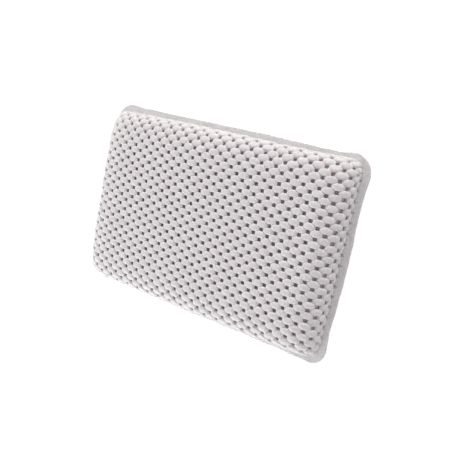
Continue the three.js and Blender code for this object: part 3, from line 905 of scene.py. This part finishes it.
# %% Two effects as node groups
def give(node, values):
    for name, value in values.items():
        node.inputs[name].default_value = value


def add_node(tree, kind, values=None, **settings):
    """A node with its settings and the values of its own sockets."""
    node = set_up(tree.nodes.new(kind), **settings)
    give(node, values or {})
    return node


def wire(tree, *wires):
    """Joins sockets: each wire is a node, its output, the next node and its input."""
    for node, output, following, entry in wires:
        tree.links.new(node.outputs[output], following.inputs[entry])


def new_group(name, entries, result, kind):
    """A node group that takes a place and these entries, and gives one result."""
    group = bpy.data.node_groups.new(name, "ShaderNodeTree")
    new_socket = group.interface.new_socket
    new_socket(name="Place", in_out="INPUT", socket_type="NodeSocketVector")
    for entry, value in entries.items():
        entry_kind = "NodeSocketColor" if isinstance(value, tuple) else "NodeSocketFloat"
        new_socket(name=entry, in_out="INPUT", socket_type=entry_kind).default_value = value
    new_socket(name=result, in_out="OUTPUT", socket_type=kind)
    return group, add_node(group, "NodeGroupInput"), add_node(group, "NodeGroupOutput")


# Height of a fine grain: soft bumps with pores pressed into them.
entries = {"Bumps per Metre": 1500, "Pores per Metre": 2500, "Pore Share": 0.4}
grain_effect, start, end = new_group("Fine grain", entries, "Height", "NodeSocketFloat")
bumps = add_node(grain_effect, "ShaderNodeTexNoise", {"Detail": 3})
pores = add_node(grain_effect, "ShaderNodeTexVoronoi", feature="F1")
mix = add_node(grain_effect, "ShaderNodeMix", data_type="FLOAT")
wire(grain_effect, (start, "Place", bumps, "Vector"), (start, "Bumps per Metre", bumps, "Scale"),
     (start, "Place", pores, "Vector"), (start, "Pores per Metre", pores, "Scale"),
     (start, "Pore Share", mix, "Factor"), (bumps, "Fac", mix, "A"), (pores, "Distance", mix, "B"),
     (mix, "Result", end, "Height"))
# A colour that drifts between two close tones over patches of one size.
entries = {"Patches per Metre": 40, "Pale": (0.8, 0.8, 0.8, 1), "Deep": (0.7, 0.7, 0.7, 1)}
tone_effect, start, end = new_group("Uneven tone", entries, "Colour", "NodeSocketColor")
patches = add_node(tone_effect, "ShaderNodeTexNoise", {"Detail": 4})
ramp = add_node(tone_effect, "ShaderNodeMapRange", {"From Min": 0.35, "From Max": 0.65},
                interpolation_type="SMOOTHSTEP")
mix = add_node(tone_effect, "ShaderNodeMix", data_type="RGBA")
wire(tone_effect, (start, "Place", patches, "Vector"), (start, "Patches per Metre", patches, "Scale"),
     (patches, "Fac", ramp, "Value"), (ramp, "Result", mix, "Factor"), (start, "Pale", mix, "A"),
     (start, "Deep", mix, "B"), (mix, "Result", end, "Colour"))
print("groups:", grain_effect.name, "and", tone_effect.name)

# %% [markdown]
# Foamed vinyl is matt with a faint skin, white with a breath of grey. Near the hole rims, down the hole
# walls and in the margin's dimples its colour is painted a lilac grey, as painted shade of those hollows.
# The mesh carries each point's height on its pad as an attribute, so the painted shade follows the real
# pads. A little light passes into the foam and out again, which softens the shadows in the creases.


# %% Foamed vinyl of the net
def new_material(mesh, name, finish):
    material = set_up(bpy.data.materials.new(name), use_nodes=True)
    mesh.materials.append(material)
    surface = material.node_tree.nodes["Principled BSDF"]
    give(surface, finish)
    return material, material.node_tree, surface


def start_material(mesh, name, pale, deep, patches, bumps, pores, pore_share, grain_depth, finish):
    """A mesh's material with both effects placed; gives back what later cells add to."""
    material, tree, surface = new_material(mesh, name, finish)
    place = add_node(tree, "ShaderNodeTexCoord")
    tone = add_node(tree, "ShaderNodeGroup", node_tree=tone_effect)
    give(tone, {"Pale": (*pale, 1), "Deep": (*deep, 1), "Patches per Metre": patches})
    grain = add_node(tree, "ShaderNodeGroup", node_tree=grain_effect)
    give(grain, {"Bumps per Metre": bumps, "Pores per Metre": pores, "Pore Share": pore_share})
    bump = add_node(tree, "ShaderNodeBump", {"Distance": grain_depth, "Strength": 1})
    wire(tree, (place, "Object", tone, "Place"), (place, "Object", grain, "Place"),
         (grain, "Height", bump, "Height"), (bump, "Normal", surface, "Normal"),
         (tone, "Colour", surface, "Base Color"))
    return material, tree, surface, tone


vinyl, tree, surface, tone = start_material(
    net_mesh, "Foamed vinyl", pale=(0.825, 0.81, 0.81), deep=(0.735, 0.72, 0.725), patches=520, bumps=1000,
    pores=1700, pore_share=0.45, grain_depth=0.24 * MM,
    finish={"Roughness": 0.62, "Specular IOR Level": 0.4, "Subsurface Weight": 0.6,
            "Subsurface Radius": (1.0, 0.85, 0.95), "Subsurface Scale": 1.2 * MM})
# Painted shade: below a fifth of a pad's height the colour turns lilac grey, most down the hole walls.
height = add_node(tree, "ShaderNodeAttribute", attribute_name="height_on_pad")
painted_shade_share = add_node(tree, "ShaderNodeMapRange", {"From Min": 0.20, "From Max": -0.5},
                   interpolation_type="SMOOTHSTEP")
shade = add_node(tree, "ShaderNodeMix", {"B": (0.70, 0.64, 0.68, 1)}, data_type="RGBA")
wire(tree, (height, "Fac", painted_shade_share, "Value"), (painted_shade_share, "Result", shade, "Factor"),
     (tone, "Colour", shade, "A"), (shade, "Result", surface, "Base Color"))
print("net material:", vinyl.name)

# %% [markdown]
# The foam is open-celled: seen close it is a web of thin struts round dark cells. Cells a little over
# a millimetre across darken the base colour, and the grain roughens what is between them.

# %% Open-cell foam
foam, tree, surface, tone = start_material(
    core.data, "Open-cell foam", pale=(0.80, 0.66, 0.74), deep=(0.72, 0.60, 0.67), patches=90, bumps=900,
    pores=1400, pore_share=0.7, grain_depth=0.35 * MM,
    finish={"Roughness": 0.95, "Specular IOR Level": 0.2})
place = add_node(tree, "ShaderNodeTexCoord")
cells = add_node(tree, "ShaderNodeTexVoronoi", {"Scale": 800}, feature="F1")
struts = add_node(tree, "ShaderNodeMapRange", {"From Min": 0.15, "From Max": 0.55})
darker = add_node(tree, "ShaderNodeMix", {"A": (0.52, 0.41, 0.48, 1)}, data_type="RGBA")
wire(tree, (place, "Object", cells, "Vector"), (cells, "Distance", struts, "Value"),
     (struts, "Result", darker, "Factor"), (tone, "Colour", darker, "B"),
     (darker, "Result", surface, "Base Color"))
print("core material:", foam.name)

# %% [markdown]
# The back is calendered vinyl sheet, smoother and a little shinier than the net, with a fine leather
# grain. The rings on its inside are cut from the same sheet, so these CAD parts only get its material.

# %% Vinyl sheet
sheeting, _, _, _ = start_material(
    sheet_mesh, "Vinyl sheet", pale=(0.76, 0.74, 0.755), deep=(0.72, 0.70, 0.72), patches=25, bumps=900,
    pores=1300, pore_share=0.6, grain_depth=0.06 * MM, finish={"Roughness": 0.42})
for k in range(1, len(CUP_PLACES) + 1):
    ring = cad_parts[f"cup_ring_{k}"]
    for place in ring.material_slots:
        place.material = sheeting
print("sheet material on the back and", k, "rings")

# %% [markdown]
# The cups are clear soft vinyl with a milky, faintly blue body. Light passes through by a plain value,
# and only the tone and a very shallow grain vary over the surface.

# %% Clear soft vinyl
clear, _, _, _ = start_material(
    cup_mesh, "Clear soft vinyl", pale=(0.90, 0.93, 0.95), deep=(0.84, 0.88, 0.91), patches=60, bumps=500,
    pores=900, pore_share=0.3, grain_depth=0.02 * MM,
    finish={"Roughness": 0.16, "IOR": 1.52, "Transmission Weight": 0.75})
print("cup material:", clear.name)

# %% [markdown]
# ## Floor and light
# The pillow was photographed in a bright white tent, with most light low from beyond its long edges and
# less from its ends. Four large, low lamps and a weak light from all round give the walls their
# brightness and the front its grey. The floor shows white because it adds light of its own to what is
# looked at, straight or in a mirror, and it still darkens where the pillow keeps the lamps off.


# %% Floor that shows white and keeps a shadow
def looked_at(tree):
    """A node that gives 1 to camera, mirror and see-through rays and 0 to rays that light things."""
    rays = add_node(tree, "ShaderNodeLightPath")
    first = add_node(tree, "ShaderNodeMath", operation="MAXIMUM")
    second = add_node(tree, "ShaderNodeMath", operation="MAXIMUM")
    wire(tree, (rays, "Is Camera Ray", first, 0), (rays, "Is Glossy Ray", first, 1),
         (first, 0, second, 0), (rays, "Is Transmission Ray", second, 1))
    return second


FLOOR_GLOW = 0.82
floor_mesh = bpy.data.meshes.new("studio_floor")
floor_mesh.from_pydata([(-4, -4, 0), (4, -4, 0), (4, 4, 0), (-4, 4, 0)], [], [(0, 1, 2, 3)])
floor_finish = {"Base Color": (0.5, 0.5, 0.5, 1), "Roughness": 0.9}
_, tree, surface = new_material(floor_mesh, "White floor", floor_finish)
amount = add_node(tree, "ShaderNodeMath", {1: FLOOR_GLOW}, operation="MULTIPLY")
glow = add_node(tree, "ShaderNodeEmission")
both = add_node(tree, "ShaderNodeAddShader")
wire(tree, (looked_at(tree), 0, amount, 0), (amount, 0, glow, "Strength"), (glow, 0, both, 0),
     (surface, 0, both, 1), (both, 0, tree.nodes["Material Output"], "Surface"))
floor = new_piece("studio_floor", floor_mesh)
print("floor is 8 m square")

# %% Lamps and the light from all round
world = set_up(bpy.data.worlds.new("studio_world"), use_nodes=True)
bpy.context.scene.world = world
tree = world.node_tree
seen = looked_at(tree)
tint = add_node(tree, "ShaderNodeMix", {"A": (1, 0.965, 0.995, 1), "B": (1, 1, 1, 1)}, data_type="RGBA")
level = add_node(tree, "ShaderNodeMapRange", {"To Min": 0.33, "To Max": 1.0})
background = tree.nodes["Background"]
wire(tree, (seen, 0, level, "Value"), (level, "Result", background, "Strength"),
     (seen, 0, tint, "Factor"), (tint, "Result", background, "Color"))


LAMPS_AIM = Vector((0, 0, 0.03))


def lamp(name, place, size, power, colour):
    """A rectangular lamp turned towards the middle of the pillow."""
    data = set_up(bpy.data.lights.new(name, "AREA"), shape="RECTANGLE", size=size[0], size_y=size[1],
                  energy=power, color=colour)
    set_up(new_piece(name, data), location=place, rotation_mode="QUATERNION",
           rotation_quaternion=(LAMPS_AIM - Vector(place)).to_track_quat("-Z", "Y"))


lamp("lamp_beyond_top_edge", (0.0, 1.45, 0.47), (1.6, 0.6), 18, (1, 0.975, 0.95))
lamp("lamp_below_lower_edge", (-0.5, -1.3, 0.42), (1.6, 0.6), 18.5, (1, 1, 1))
lamp("lamp_beyond_left_end", (-1.4, 0.0, 0.60), (1.2, 0.7), 6.3, (1, 1, 0.99))
lamp("lamp_beyond_right_end", (1.4, 0.0, 0.50), (1.2, 0.7), 3.8, (1, 0.99, 1))
bpy.context.scene.view_settings.view_transform = "Standard"
print("four low lamps and a white world")
